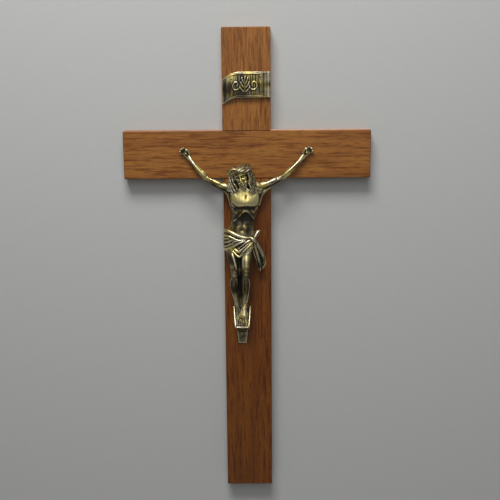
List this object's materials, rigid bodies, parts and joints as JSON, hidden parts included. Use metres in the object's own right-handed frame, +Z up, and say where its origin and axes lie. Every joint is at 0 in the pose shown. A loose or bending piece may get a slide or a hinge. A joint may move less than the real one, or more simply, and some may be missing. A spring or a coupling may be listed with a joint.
{
  "type": "wall crucifix",
  "caption": "Wall crucifix of halved oak boards with a cast brass figure, sloping footrest, curled scroll plate and a hanging ring let into the back.",
  "frame": {"origin": "middle of the crossing of the two boards, on the back face", "axes": "+Z up along the upright, +X to the viewer's right, +Y out of the back towards the wall; the front faces -Y"},
  "size_m": [0.206, 0.038, 0.402],
  "materials": {
    "oak": "stained and waxed, satin",
    "aged_brass": "cast, dark in its hollows and rubbed bright on its high places",
    "drawn_brass": "drawn, dulled by age",
    "screw_steel": "plain, dulled"
  },
  "bodies": {
    "cross": {"upright": "oak", "crossbeam": "oak", "lap_screws": "screw_steel", "corpus": "aged_brass", "arm_right": "aged_brass", "arm_left": "aged_brass", "shoulder_pins": "drawn_brass", "crown_of_thorns": "aged_brass", "hand_nails": "drawn_brass", "foot_nail": "drawn_brass", "footrest": "aged_brass", "footrest_pin": "drawn_brass", "scroll_plate": "aged_brass", "scroll_pins": "drawn_brass", "hanger_plate": "drawn_brass", "hanger_screws": "screw_steel"},
    "ring": {"hanger_ring": "drawn_brass"}
  },
  "joints": [
    {"name": "ring_swing", "type": "hinge", "parent": "cross", "child": "ring", "pos_m": [0, -0.00206, 0.076], "axis": [1, 0, 0], "range_deg": [-4, 176]}
  ]
}
